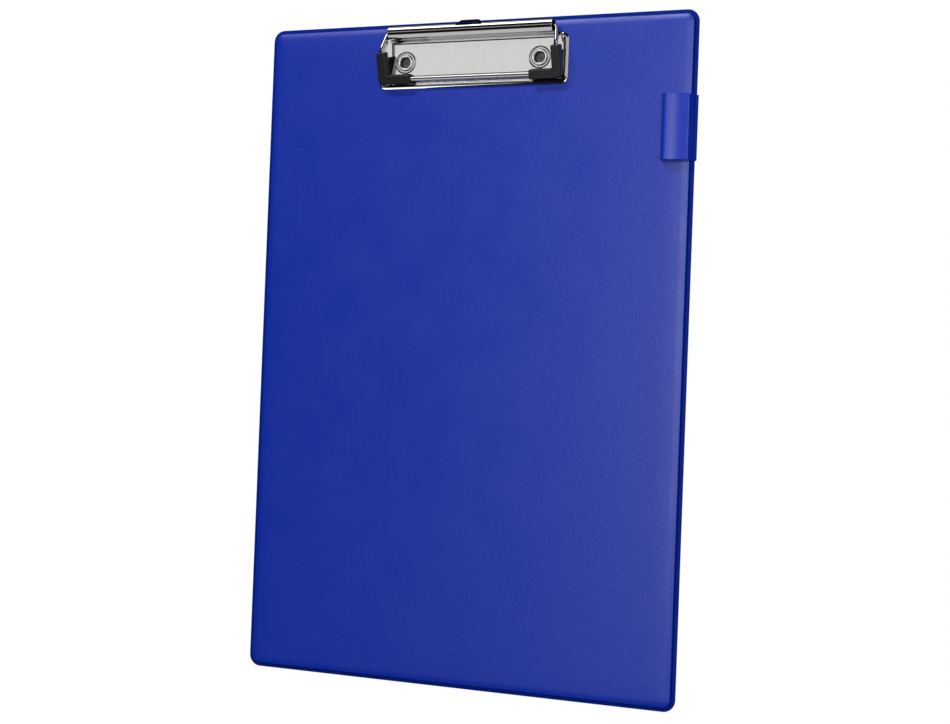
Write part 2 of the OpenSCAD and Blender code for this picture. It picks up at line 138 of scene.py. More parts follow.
def tube(radius, low, high, at):
    # a plain cylinder, used as a cutter
    ring = arc(at, radius, 0, 360, turnSides)[:-1]
    points = [(x, y, z) for z in (low, high) for x, y in ring]
    faces = loftFaces(2, turnSides)
    faces += [list(range(turnSides))[::-1], list(range(turnSides, 2 * turnSides))]
    return addPiece("cutter", points, faces, blankMaterial)


def lathe(profile, at, closed=False):
    # a radius-height profile turned about a vertical axis; points on the axis meet
    points = []
    for k in range(turnSides):
        a = 2 * math.pi * k / turnSides
        points += [(at[0] + r * math.cos(a), at[1] + r * math.sin(a), z) for r, z in profile]
    return points, loftFaces(turnSides, len(profile), closed, closedLoft=True)


# ---- materials

def linear(colour):
    # an sRGB hex value as linear RGBA
    parts = [int(colour[i:i + 2], 16) / 255 for i in (1, 3, 5)]
    return [c / 12.92 if c <= 0.04045 else ((c + 0.055) / 1.055) ** 2.4 for c in parts] + [1]


def addNode(tree, kind, inputs=None, **settings):
    node = tree.nodes.new(kind)
    for name, value in settings.items():
        setattr(node, name, value)
    for key, value in (inputs or {}).items():
        if isinstance(value, bpy.types.NodeSocket):
            tree.links.new(value, node.inputs[key])
        else:
            node.inputs[key].default_value = value
    return node


def perSize(size):
    # texture scale, in metres, for a pattern of this size
    return 1 / (size * mm)


def addNoise(tree, place, size, detail=2.0, roughness=0.5):
    return addNode(tree, "ShaderNodeTexNoise", {
        "Vector": place, "Scale": perSize(size), "Detail": detail,
        "Roughness": roughness}).outputs[0]


def addRange(tree, value, fromLow, fromHigh, low=0.0, high=1.0):
    return addNode(tree, "ShaderNodeMapRange", {
        "Value": value, "From Min": fromLow, "From Max": fromHigh,
        "To Min": low, "To Max": high}).outputs[0]


def addTint(tree, factor, first, second):
    return addNode(tree, "ShaderNodeMix", {
        "Factor": factor, "A": linear(first), "B": linear(second)},
        data_type="RGBA").outputs["Result"]


def addBump(tree, height, depth, **under):
    # under may name the normal that this bump lies on
    return addNode(tree, "ShaderNodeBump", {
        "Height": height, "Distance": depth * mm, "Strength": 1.0, **under}).outputs[0]


def startMaterial(name):
    material = bpy.data.materials.new(name)
    material.use_nodes = True
    tree = material.node_tree
    tree.nodes.clear()
    place = addNode(tree, "ShaderNodeTexCoord").outputs["Object"]
    return material, tree, place


def finishMaterial(material, tree, inputs):
    shader = addNode(tree, "ShaderNodeBsdfPrincipled", inputs)
    addNode(tree, "ShaderNodeOutputMaterial", {"Surface": shader.outputs[0]})
    return material


blankMaterial = bpy.data.materials.new("unfinished")

film = {
    "colour": "#0c2fab",
    "thinColour": "#0f35b8",
    # darker than the film: partly the pressed weld's own tone, partly painted shade
    "weldAndShadeColour": "#082690",
    "grain": 0.7,  # pebbles of the embossing
    "fine": 1.12,  # the finer unevenness on them
    "mottle": 26,  # soft unevenness of the calendered sheet
    "roughness": 0.37,
    "roughnessSpread": 0.04,
    "grainDepth": 0.026,
    "dapple": 2.6,  # gentle unevenness from the board below
    "dappleDepth": 0.05,
    "weldRoughness": 0.5,
    "weldSheen": 0.03,  # specular level of the pressed film
    "ior": 1.52,
}


def pressedWeldAndShade(name):
    # The same PVC where the seam's tool has pressed it: smooth and almost without sheen. Its
    # darker colour is partly the fused film's own tone and partly painted shade, for the shade
    # that falls on the seam beside the wall.
    material, tree, place = startMaterial(name)
    return finishMaterial(material, tree, {
        "Base Color": linear(film["weldAndShadeColour"]), "Roughness": film["weldRoughness"],
        "Specular IOR Level": film["weldSheen"], "IOR": film["ior"],
        "Normal": addBump(tree, addNoise(tree, place, 3), 0.01)})


def embossedPvc(name):
    # Calendered PVC, embossed with a fine pebble grain: a deep, even colour under a
    # broad soft sheen that the grain breaks up a little.
    material, tree, place = startMaterial(name)
    pebbles = addNode(tree, "ShaderNodeTexVoronoi", {
        "Vector": place, "Scale": perSize(film["grain"]), "Smoothness": 0.6},
        feature="SMOOTH_F1").outputs[0]
    fine = addNoise(tree, place, film["fine"], 3.0, 0.6)
    mottle = addNoise(tree, place, film["mottle"], 3.0, 0.55)
    speck = addRange(tree, fine, 0.3, 0.7)
    rough = addRange(tree, mottle, 0.3, 0.7, film["roughness"] - film["roughnessSpread"],
                     film["roughness"] + film["roughnessSpread"])
    height = addNode(tree, "ShaderNodeMath", {0: pebbles, 1: fine}, operation="ADD").outputs[0]
    uneven = addBump(tree, addNoise(tree, place, film["dapple"]), film["dappleDepth"])
    return finishMaterial(material, tree, {
        "Base Color": addTint(tree, speck, film["colour"], film["thinColour"]),
        "Roughness": rough, "IOR": film["ior"],
        "Normal": addBump(tree, height, film["grainDepth"], Normal=uneven)})


chrome = {
    "colour": "#d3d3d1",
    "waves": 9,  # width of the pressed sheet's slight unevenness
    "haze": 2.5,
    "hazeRoughness": 0.05,  # what the haze adds to the roughness
}


def chromedSteel(name, roughness, waveDepth):
    # Bright nickel-chrome on pressed steel: a mirror with very slight waves and
    # fine handling haze.
    material, tree, place = startMaterial(name)
    haze = addNoise(tree, place, chrome["haze"], 4.0, 0.7)
    rough = addRange(tree, haze, 0.35, 0.75, roughness, roughness + chrome["hazeRoughness"])
    return finishMaterial(material, tree, {
        "Base Color": linear(chrome["colour"]), "Metallic": 1.0, "Roughness": rough,
        "Normal": addBump(tree, addNoise(tree, place, chrome["waves"]), waveDepth)})


def dullSteelAndShade(name):
    # The floor and wall of a rivet's bore: unpolished grey plated steel that scatters, its dark
    # grey partly painted shade for the shade down in the bore.
    material, tree, place = startMaterial(name)
    grit = addNoise(tree, place, 0.5, 4.0)
    return finishMaterial(material, tree, {
        "Base Color": addTint(tree, grit, "#4a4847", "#7d7b79"), "Metallic": 1.0,
        "Roughness": 0.45})


def mouldedRubber(name):
    # Injection-moulded soft black PVC: satin, with the faint texture of a spark-eroded mould.
    material, tree, place = startMaterial(name)
    wear = addNoise(tree, place, 5, 3.0)
    return finishMaterial(material, tree, {
        "Base Color": addTint(tree, wear, "#101010", "#1e1e1e"), "Roughness": 0.42,
        "IOR": 1.5, "Normal": addBump(tree, addNoise(tree, place, 0.4, 3.0), 0.01)})


def blackedSteel(name):
    # Oil-blackened spring wire: near black, with a dull metallic edge light.
    material, tree, place = startMaterial(name)
    scale = addNoise(tree, place, 1.5, 4.0)
    return finishMaterial(material, tree, {
        "Base Color": addTint(tree, scale, "#161412", "#35302c"), "Metallic": 0.7,
        "Roughness": 0.4})


def pulpBoard(name):
    # Greyboard of recycled paper pulp, flecked and matt.
    material, tree, place = startMaterial(name)
    flecks = addNoise(tree, place, 1.2, 5.0, 0.7)
    return finishMaterial(material, tree, {
        "Base Color": addTint(tree, flecks, "#8d8678", "#b3ab9b"), "Roughness": 0.85})


def whiteSweep(name):
    # Matt white vinyl, lit so evenly from its far side that it stays white round the board.
    material, tree, place = startMaterial(name)
    return finishMaterial(material, tree, {
        "Base Color": addTint(tree, addNoise(tree, place, 40), "#fbfbfb", "#ffffff"),
        "Roughness": 0.9, "Emission Color": linear("#ffffff"), "Emission Strength": 1.0})


pvcFront = embossedPvc("embossed PVC film")
pvcWeldAndShade = pressedWeldAndShade("pressed PVC weld and painted shade")
plateChrome = chromedSteel("chromed sheet steel", 0.04, 0.0015)
wireChrome = chromedSteel("chromed steel wire", 0.06, 0.001)
rivetNickel = chromedSteel("nickel-plated rivet steel", 0.08, 0.001)
rivetBoreAndShade = dullSteelAndShade("dull rivet steel and painted shade")
sleevePvc = mouldedRubber("moulded soft black PVC")
springSteel = blackedSteel("oil-blackened spring steel")
greyboard = pulpBoard("greyboard")
print("materials made")


# ---- board: two welded films round a greyboard core

coverLow, coverHigh = sizesOf("front_cover")
board = {
    "width": coverHigh.x - coverLow.x,
    "height": coverHigh.y - coverLow.y,
    "face": coverHigh.z,
    "corner": 6.0,
    "leastCorner": 1.0,  # of the innermost rings
    "film": 0.35,
    "flange": 1.8,  # the welded seam outside the core
    "shoulder": 0.9,  # tight radius at the top of the wall
    "rollWidth": 4.0,  # from the wall to the flat
    "rollSlope": 14.0,  # of the film where the two radii meet, in degrees
    "slackWidth": 14,  # the band inside the edge over which the film falls slowly outwards
    "slack": 0.0023,  # how fast it falls
    "sag": 0.05,  # how far the film dips between its high places
    "sagWidth": 42,
    "sagFrom": 5,  # inset at which the dips begin
    "sagFade": 12,  # and over how much they grow to their depth
    "ripple": 0.15,  # share of the smaller dips
    "rippleWidth": 13,
    "sideSteps": 84,
    "endSteps": 58,
    "cornerSteps": 10,
    "slackStep": 1.5,  # between rings in the slack band
    "flatStep": 4,  # and over the rest
}
weldTop = 2 * board["film"]

rivetLow, rivetHigh = sizesOf("rivet_right")
rivet = {
    "x": (rivetLow.x + rivetHigh.x) / 2,
    "y": (rivetLow.y + rivetHigh.y) / 2,
    "head": (rivetHigh.x - rivetLow.x) / 2,
    "headThickness": 0.8,
    "tube": 3.2,  # radius, outside
    "hole": 3.25,  # radius of the holes that it goes through
    "bore": 2.6,
    "rim": 0.9,  # section radius of the rolled rim
    "rimFoot": 4.8,  # height of the panel that it is rolled down on
    "rimLift": 0.2,  # of its section's centre above that
    "rimEnd": -13,  # where the roll meets the panel, in degrees
    "floor": 2.7,
    "dimple": 0.5,
    "ease": 0.2,  # radius in the bore's corner and at the head's edge
    "wellRadius": 5.05,
    "wellDepth": 0.85,
    "coinRadius": 5.4,  # ring pressed into the panel by the setting tool
    "coinSection": 0.5,
    "coinDepth": 0.3,
}


def rivetHoles(low, high):
    return [tube(rivet["hole"], low, high, (x, rivet["y"])) for x in (-rivet["x"], rivet["x"])]


def boardRing(inset, z):
    # one loop round the board at a distance in from its edge, always with as many points
    halfW = board["width"] / 2 - inset
    halfH = board["height"] / 2 - inset
    r = min(max(board["corner"] - inset, board["leastCorner"]), halfW)
    ring = []
    corners = [(halfW - r, halfH - r, 0), (r - halfW, halfH - r, 90),
               (r - halfW, r - halfH, 180), (halfW - r, r - halfH, 270)]
    for i, (x, y, start) in enumerate(corners):
        ring += arc((x, y), r, start, start + 90, board["cornerSteps"])
        nextX, nextY, _ = corners[(i + 1) % 4]
        turn = math.radians(start + 90)
        a = (x + r * math.cos(turn), y + r * math.sin(turn))
        b = (nextX + r * math.cos(turn), nextY + r * math.sin(turn))
        steps = board["endSteps"] if i % 2 == 0 else board["sideSteps"]
        ring += [(a[0] + (b[0] - a[0]) * k / steps, a[1] + (b[1] - a[1]) * k / steps)
                 for k in range(1, steps)]
    return [(x, y, z) for x, y in ring]


def shoulderSection(inwards):
    # The film from the wall to the flat, as insets and heights, with its two radii.
    # inwards moves the whole line into the board, for the film's inner face.
    tight = board["shoulder"]
    across = board["rollWidth"] - tight
    slope = math.radians(board["rollSlope"])
    wide = across / math.sin(slope) + tight
    wideZ = board["face"] - wide
    tightZ = wideZ + (wide - tight) * math.cos(slope)
    tightAt = (board["flange"] + tight, tightZ)
    wideAt = (board["flange"] + board["rollWidth"], wideZ)
    line = arc(tightAt, tight - inwards, 180, 90 + board["rollSlope"], 7)
    line += arc(wideAt, wide - inwards, 90 + board["rollSlope"], 90, 9)[1:]
    return line


def edgeInset(x, y):
    # how far a point lies inside the board's rounded outline
    r = board["corner"]
    dx = abs(x) - (board["width"] / 2 - r)
    dy = abs(y) - (board["height"] / 2 - r)
    if dx > 0 and dy > 0:
        return r - math.hypot(dx, dy)
    return r - max(dx, dy)


def markWeldAndShade(piece, reach):
    # faces nearer the edge than reach take the pressed film's material, whose darker colour is
    # partly painted shade
    piece.data.materials.append(pvcWeldAndShade)
    for face in piece.data.polygons:
        at = face.center / mm
        if edgeInset(at.x, at.y) < reach:
            face.material_index = 1


def fallAt(inset):
    return board["slack"] * max(board["slackWidth"] - inset, 0) ** 2


def dip(x, y, inset):
    # slight hollows of the film over the board, none at its edge
    fade = min(max((inset - board["sagFrom"]) / board["sagFade"], 0), 1)
    wide, narrow = board["sagWidth"], board["rippleWidth"]
    low = noise.noise(Vector((x / wide, y / wide, 0.3)))
    small = noise.noise(Vector((x / narrow, y / narrow, 4.7)))
    return -board["sag"] * fade * (0.5 + 0.5 * low + board["ripple"] * small)


def makeFrontFilm():
    f = board["film"]
    edge = [(0, f), (0, weldTop - 0.1), (0.03, weldTop - 0.03), (0.1, weldTop)]
    foot = [(board["flange"] - 0.12, weldTop), (board["flange"] - 0.03, weldTop + 0.03),
            (board["flange"], weldTop + 0.12)]
    outside = edge + foot + shoulderSection(0)
    inside = [(board["flange"] + f, f)] + shoulderSection(f)
    # past the foot of the wall, the film falls slowly outwards
    flat = len(edge + foot)
    rings = [boardRing(u, z if i < flat else z - fallAt(u)) for i, (u, z) in enumerate(outside)]
    inset = outside[-1][0]
    middle = board["width"] / 2
    while inset < middle:
        slack = inset < board["slackWidth"]
        inset = min(inset + (board["slackStep"] if slack else board["flatStep"]), middle)
        level = board["face"] - fallAt(inset)
        rings.append([(x, y, level + dip(x, y, inset)) for x, y, _ in boardRing(inset, 0)])
    under = [boardRing(u, z if z == f else z - fallAt(u)) for u, z in inside]
    size = len(rings[0])
    points = [p for ring in rings for p in ring]
    faces = loftFaces(len(rings), size)
    start = len(points)
    points += [p for ring in [rings[0]] + under for p in ring]
    faces += [[start + i for i in face] for face in loftFaces(len(under) + 1, size)]
    last = len(points) - size
    faces.append([last + i for i in range(size)])
    piece = addPiece("front_film", points, faces, pvcFront)
    cutAway(piece, rivetHoles(1, 5))
    markWeldAndShade(piece, board["flange"] + 0.5)  # the seam, with painted shade on the wall and the start of the shoulder
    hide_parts("front_cover")
    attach(piece, "board")
    return piece


frontFilm = makeFrontFilm()
print("front film", len(frontFilm.data.polygons))


def makeBackFilm():
    # flat, with the weld's groove round its edge and a pressed well at each rivet
    f = board["film"]
    outside = [(0, f), (0, 0.1), (0.03, 0.03), (0.1, 0), (0.5, 0), (0.6, 0.06), (1.2, 0.06),
               (1.3, 0), (3, 0)]
    rings = [boardRing(u, z) for u, z in outside]
    inset, middle = outside[-1][0], board["width"] / 2
    while inset < middle:
        inset = min(inset + board["flatStep"], middle)
        rings.append(boardRing(inset, 0))
    size = len(rings[0])
    points = [p for ring in rings for p in ring]
    faces = loftFaces(len(rings), size)
    faces.append(list(range(size)))
    piece = addPiece("back_film", points, faces, pvcFront)
    for x in (-rivet["x"], rivet["x"]):
        at = (x, rivet["y"])
        cutAway(piece, [tube(rivet["wellRadius"] + f, 0.1, rivet["wellDepth"] + f, at)],
                operation="UNION")
        cutAway(piece, [tube(rivet["wellRadius"], -1, rivet["wellDepth"], at),
                        tube(rivet["hole"], -1, 3, at)])
    markWeldAndShade(piece, 1.25)  # to the inner side of the groove, in the weld's darker colour, which is partly painted shade
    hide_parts("back_cover")
    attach(piece, "board")
    return piece


backFilm = makeBackFilm()
print("back film", len(backFilm.data.polygons))

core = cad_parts["core_board"]
core.material_slots[0].material = greyboard


# ---- geometry nodes: what follows a path

def newTree(name, inputs):
    # a node group with a geometry input and output and these named inputs
    tree = bpy.data.node_groups.new(name, "GeometryNodeTree")
    tree.interface.new_socket("Geometry", in_out="INPUT", socket_type="NodeSocketGeometry")
    for label, kind, default in inputs:
        socket = tree.interface.new_socket(label, in_out="INPUT", socket_type="NodeSocket" + kind)
        if default is not None:
            socket.default_value = default
    tree.interface.new_socket("Geometry", in_out="OUTPUT", socket_type="NodeSocketGeometry")
    return tree, tree.nodes.new("NodeGroupInput")


def endTree(tree, geometry, material):
    real = addNode(tree, "GeometryNodeRealizeInstances", {"Geometry": geometry})
    painted = addNode(tree, "GeometryNodeSetMaterial", {
        "Geometry": real.outputs[0], "Material": material})
    addNode(tree, "NodeGroupOutput", {"Geometry": painted.outputs[0]})
    return tree


def wireTree():
    # a round wire along a path, bent at each corner by the radius stored on its point
    tree, given = newTree("Wire along a path", [
        ("Diameter", "Float", 2.0 * mm), ("Sides", "Int", 24), ("Bend steps", "Int", 10),
        ("Material", "Material", None)])
    path = addNode(tree, "GeometryNodeMeshToCurve", {"Mesh": given.outputs["Geometry"]})
    bend = addNode(tree, "GeometryNodeInputNamedAttribute", {"Name": "bend"}, data_type="FLOAT")
    bent = addNode(tree, "GeometryNodeFilletCurve", {
        "Curve": path.outputs[0], "Count": given.outputs["Bend steps"],
        "Radius": bend.outputs[0]}, mode="POLY")
    half = addNode(tree, "ShaderNodeMath", {
        0: given.outputs["Diameter"], 1: 0.5}, operation="MULTIPLY")
    round = addNode(tree, "GeometryNodeCurvePrimitiveCircle", {
        "Resolution": given.outputs["Sides"], "Radius": half.outputs[0]})
    wire = addNode(tree, "GeometryNodeCurveToMesh", {
        "Curve": bent.outputs[0], "Profile Curve": round.outputs["Curve"], "Fill Caps": True})
    return endTree(tree, wire.outputs[0], given.outputs["Material"])


def ribTree():
    # small raised bars laid across a path at an even pitch
    tree, given = newTree("Ribs along a weld", [
        ("Pitch", "Float", 1.75 * mm), ("Length", "Float", 1.0 * mm),
        ("Width", "Float", 0.5 * mm), ("Height", "Float", 0.2 * mm),
        ("Material", "Material", None)])
    path = addNode(tree, "GeometryNodeMeshToCurve", {"Mesh": given.outputs["Geometry"]})
    spots = addNode(tree, "GeometryNodeCurveToPoints", {
        "Curve": path.outputs[0], "Length": given.outputs["Pitch"]}, mode="LENGTH")
    bar = addNode(tree, "GeometryNodeMeshUVSphere", {
        "Segments": 10, "Rings": 6, "Radius": 0.5})
    size = addNode(tree, "ShaderNodeCombineXYZ", {
        "X": given.outputs["Width"], "Y": given.outputs["Length"],
        "Z": given.outputs["Height"]})
    along = addNode(tree, "FunctionNodeAlignRotationToVector", {
        "Vector": spots.outputs["Tangent"]}, axis="X", pivot_axis="Z")
    bars = addNode(tree, "GeometryNodeInstanceOnPoints", {
        "Points": spots.outputs["Points"], "Instance": bar.outputs["Mesh"],
        "Rotation": along.outputs[0], "Scale": size.outputs[0]})
    return endTree(tree, bars.outputs[0], given.outputs["Material"])


def followPath(name, tree, path, closed, values, bends=None):
    # runs a tree on a path of points and keeps the result as a plain mesh
    mesh = bpy.data.meshes.new(name)
    count = len(path)
    edges = [(i, (i + 1) % count) for i in range(count if closed else count - 1)]
    mesh.from_pydata([[c * mm for c in p] for p in path], edges, [])
    store = mesh.attributes.new("bend", "FLOAT", "POINT")
    store.data.foreach_set("value", [b * mm for b in (bends or [0] * count)])
    piece = addObject(name, mesh)
    modifier = piece.modifiers.new("path", "NODES")
    modifier.node_group = tree
    for item in tree.interface.items_tree:
        if item.in_out == "INPUT" and item.name in values:
            modifier[item.identifier] = values[item.name]
    settle(piece)
    return piece


wires = wireTree()
ribs = ribTree()

weld = {
    "pitch": 1.75,
    "inset": 0.4,  # from the board's edge to the middle of the bars
    "length": 0.7,
    "width": 0.9,
    "height": 0.16,
}


def makeWeldRibs():
    # the bars take the weld's darker colour, which is partly painted shade
    piece = followPath("weld_ribs", ribs, boardRing(weld["inset"], weldTop), True, {
        "Pitch": weld["pitch"] * mm, "Length": weld["length"] * mm,
        "Width": weld["width"] * mm, "Height": weld["height"] * mm, "Material": pvcWeldAndShade})
    tidyMesh(piece, 40)
    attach(piece, "board")
    return piece


frontRibs = makeWeldRibs()
print("weld ribs", len(frontRibs.data.polygons))


# ---- pen loop: a strip folded back on itself, both ends in the weld

loopLow, loopHigh = sizesOf("pen_loop")
penLoop = {
    "low": loopLow.y,
    "high": loopHigh.y,
    "reach": 15.6,
    "foldHeight": 4.5,  # clear height inside the fold
    "slope": 18.0,  # of the upper run towards its crease, down from level
    "landing": 70.0,  # and of the steep run at the board's edge
    "steep": 3.6,  # length of that run
    "crease": 0.8,
    "thickness": 0.5,
    "gap": 0.05,
    "foldHold": 0.3,  # stiffness of the upper run at the fold, as a share of the reach
    "creaseHold": 0.25,  # and at the crease
    "weld": 1.2,  # height of the pressed ends, in thicknesses
    "ease": 0.1,  # rounding of the cut edges
    "steps": 34,
}


def bezier(a, b, c, d, steps):
    line = []
    for i in range(steps + 1):
        t = i / steps
        w = ((1 - t) ** 3, 3 * t * (1 - t) ** 2, 3 * t * t * (1 - t), t ** 3)
        line.append(tuple(sum(k * p[j] for k, p in zip(w, (a, b, c, d))) for j in (0, 1)))
    return line


def loopPath():
    # the strip's middle line from its lower weld, over the shoulder, round the fold,
    # down to the crease and steeply on to its upper weld
    half, gap, reach = penLoop["thickness"] / 2, penLoop["gap"], penLoop["reach"]
    right = board["width"] / 2
    lift = 2 * gap + half
    over = [(right - u, z) for u, z in shoulderSection(-lift)]
    weldZ = weldTop + gap + penLoop["weld"] * half
    foldR = (penLoop["foldHeight"] + penLoop["thickness"]) / 2
    foldAt = (right - reach + half + foldR, board["face"] + lift + foldR)
    fold = arc(foldAt, foldR, 270, 90, 24)
    tightAt = (right - board["flange"] - board["shoulder"], over[0][1])
    upperR = board["shoulder"] + lift + penLoop["thickness"] + gap
    lead, slope = math.radians(90 - penLoop["landing"]), math.radians(penLoop["slope"])
    out = (math.cos(lead), math.sin(lead))
    back = upperR - penLoop["crease"]
    creaseAt = (tightAt[0] + back * out[0] - penLoop["steep"] * out[1],
                tightAt[1] + back * out[1] + penLoop["steep"] * out[0])
    crease = arc(creaseAt, penLoop["crease"], 90 - penLoop["slope"], 90 - penLoop["landing"], 10)
    hold, ease = penLoop["foldHold"] * reach, penLoop["creaseHold"] * reach
    top, end = fold[-1], crease[0]
    upper = bezier(top, (top[0] + hold, top[1]),
                   (end[0] - ease * math.cos(slope), end[1] + ease * math.sin(slope)), end, 26)
    down = arc(tightAt, upperR, 90 - penLoop["landing"], 0, 6)
    return ([(over[0][0], weldZ)] + over + fold + upper[1:-1] + crease + down
            + [(tightAt[0] + upperR, weldZ)])


def ribbon(path, thickness):
    # the closed outline of a strip along a path
    count = len(path)
    left, right = [], []
    for i, (x, y) in enumerate(path):
        ax, ay = path[max(i - 1, 0)]
        bx, by = path[min(i + 1, count - 1)]
        long = math.hypot(bx - ax, by - ay)
        nx, ny = (ay - by) / long * thickness / 2, (bx - ax) / long * thickness / 2
        left.append((x + nx, y + ny))
        right.append((x - nx, y - ny))
    return right + left[::-1]


def alongY(sections, stations):
    # the points of X-Z outlines, one at each station
    return [(x, y, z) for section, y in zip(sections, stations) for x, z in section]


def makePenLoop():
    path, t, ease = loopPath(), penLoop["thickness"], penLoop["ease"]
    full, slim = ribbon(path, t), ribbon(path, t - 2 * ease)
    low, high, steps = penLoop["low"], penLoop["high"], penLoop["steps"]
    stations = [low, low + ease]
    stations += [low + (high - low) * i / steps for i in range(1, steps)]
    stations += [high - ease, high]
    size = len(full)
    points = alongY([slim] + [full] * (len(stations) - 2) + [slim], stations)
    faces = loftFaces(len(stations), size) + stripEnd(0, size)
    faces += stripEnd(len(points) - size, size)
    piece = addPiece("pen_loop_strip", points, faces, pvcFront)
    # the welded ends, pressed together and run on past the board's edge
    left, right = board["width"] / 2 - board["flange"] + penLoop["gap"], loopHigh.x
    foot = weldTop + penLoop["gap"]
    top = foot + penLoop["weld"] * t
    tail = [(left, foot), (right - 0.1, foot), (right, foot + 0.1), (right, top - 0.2),
            (right - 0.06, top - 0.06), (right - 0.2, top), (left, top)]
    size = len(tail)
    cutter = addPiece("cutter", alongY([tail, tail], [low + 0.02, high - 0.02]),
                      loftFaces(2, size) + [list(range(size)), list(range(size, 2 * size))],
                      pvcFront)
    cutAway(piece, [cutter], operation="UNION")
    piece.data.materials.append(pvcWeldAndShade)
    for face in piece.data.polygons:  # the welded ends are pressed like the seam; with the strip's foot beside them they take its darker colour, which is partly painted shade
        if face.center.x / mm > left + 0.3 and face.center.z / mm < top + 0.6:
            face.material_index = 1
    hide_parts("pen_loop")
    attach(piece, "board")
    return piece


penLoopStrip = makePenLoop()
print("pen loop", len(penLoopStrip.data.polygons))


# ---- base plate: a pressed sheet with a half-round bead on three sides

plateLow, plateHigh = sizesOf("base_plate")
basePlate = {
    "halfWidth": plateHigh.x,
    "front": plateLow.y,
    "back": plateHigh.y,
    "foot": plateLow.z,
    "bead": 1.6,  # outside radius
    "thickness": 0.8,
    "corner": 3.8,
    "cornerSteps": 16,
    "fillet": 0.5,  # from the bead down to the flat
    "margin": 0.6,  # of the flat, before the plain sheet begins
}


def beadSection():
    # (distance inwards from the bead's crown, height), from the inner flat over the bead
    # and back under it
    r, t, f = basePlate["bead"], basePlate["thickness"], basePlate["fillet"]
    # the fillet touches the flat at height t and the outside of the bead
    across = math.sqrt((r + f) ** 2 - (t + f) ** 2)
    lean = math.degrees(math.asin((t + f) / (r + f)))
    flat = across + basePlate["margin"]
    line = [(flat, t)] + arc((across, t + f), f, 270, 180 + lean, 5)
    line += arc((0, 0), r, lean, 180, 26)[1:]
    line += arc((0, 0), r - t, 180, 0, 14)
    return line + [(flat, 0)]


def makeBasePlate():
    section = beadSection()
    turn = basePlate["corner"] - basePlate["bead"]
    turnX = basePlate["halfWidth"] - basePlate["corner"]
    lowY = basePlate["front"] + basePlate["corner"]
    highY = basePlate["back"] - basePlate["corner"]
    foot, steps = basePlate["foot"], basePlate["cornerSteps"]
    # the section is swept round the four corners, clockwise from the right end of the bead
    rings = []
    for cx, cy, start in ((turnX, highY, 90), (turnX, lowY, 0), (-turnX, lowY, -90),
                          (-turnX, highY, -180)):
        for i in range(steps + 1):
            angle = math.radians(start - 90 * i / steps)
            c, s = math.cos(angle), math.sin(angle)
            rings.append([(cx + (turn - u) * c, cy + (turn - u) * s, foot + z)
                          for u, z in section])
    count, size = len(rings), len(section)
    points = [p for ring in rings for p in ring]
    faces = loftFaces(count, size, closedRings=False)
    lastRing = (count - 1) * size
    # the flat sheet inside the bead, its back edge straight between the bead's ends
    back, sheetX = len(points), rings[0][0][0]
    points += [(x, basePlate["back"], foot + z) for x in (sheetX, -sheetX)
               for z in (basePlate["thickness"], 0)]
    faces.append([i * size for i in range(count)] + [back + 2, back])
    faces.append([i * size + size - 1 for i in range(count)] + [back + 3, back + 1])
    faces.append([back, back + 1, back + 3, back + 2])
    faces.append(list(range(size)) + [back + 1, back])
    faces.append([lastRing + k for k in range(size)] + [back + 3, back + 2])
    piece = addPiece("base_sheet", points, faces, plateChrome)
    cutAway(piece, rivetHoles(2, 6))
    evenNormals(piece)
    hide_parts("base_plate")
    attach(piece, "board")
    return piece


baseSheet = makeBasePlate()
print("base plate", len(baseSheet.data.polygons))


# ---- hinge plate: the riveted panel and the barrel curled out of the same sheet

hingeLow, hingeHigh = sizesOf("hinge_plate")
hinge = {
    "halfWidth": hingeHigh.x,
    "front": hingeLow.y,
    "under": hingeLow.z,
    "thickness": 0.85,
    "barrel": 3.75,  # outside radius
    "bend": 1.5,  # inside radius of the bend up to the barrel
    "curlPast": 20,
    "panelCorner": 2.0,
    "ease": 0.1,  # rounding of the cut edges
    "slot": 14.0,
    "slotHigh": 62.0,
    "slotGap": 0.15,  # from the spring's leaving wire to the slot's lower edge
}
spring = {
    "wire": 1.3,
    "pivot": 2.25,  # the bail's wire, which the coils go round
    "pivotGap": 0.15,
    "turns": 9,  # on each side
    "loopWidth": 12.0,
    "turnGap": 0.06,
    "bend": 1.1,
    "loopAngle": 15.0,  # where the loop's bar lies, up from straight back
    "legAngle": 92.0,  # and the outer legs
    "inset": 0.4,  # of the legs' ends from the barrel's mouths
    "step": 12,  # degrees between points of the coil
}
# radius to the wire's middle, of the coils and of the centre loop
spring["coil"] = spring["pivot"] / 2 + spring["pivotGap"] + spring["wire"] / 2
spring["loop"] = hinge["barrel"] + 0.05 + spring["wire"] / 2
spring["leave"] = spring["loopAngle"] - math.degrees(math.acos(spring["coil"] / spring["loop"]))
barrelY = hingeHigh.y - hinge["barrel"]
barrelZ = hingeHigh.z - hinge["barrel"]


def hingePath():
    half = hinge["thickness"] / 2
    bendY = barrelY - hinge["barrel"] - hinge["bend"]
    bendZ = hinge["under"] + hinge["thickness"] + hinge["bend"]
    low = hinge["under"] + half
    # close points where the panel's corners are rounded
    path = [(hinge["front"] + s, low) for s in (0, 0.15, 0.4, 0.8, 1.3, 2.0, 2.1)]
    path += [(bendY - 0.05, low)] + arc((bendY, bendZ), hinge["bend"] + half, -90, 0, 12)
    path += arc((barrelY, barrelZ), hinge["barrel"] - half, 180, -90 - hinge["curlPast"], 84)
    return path


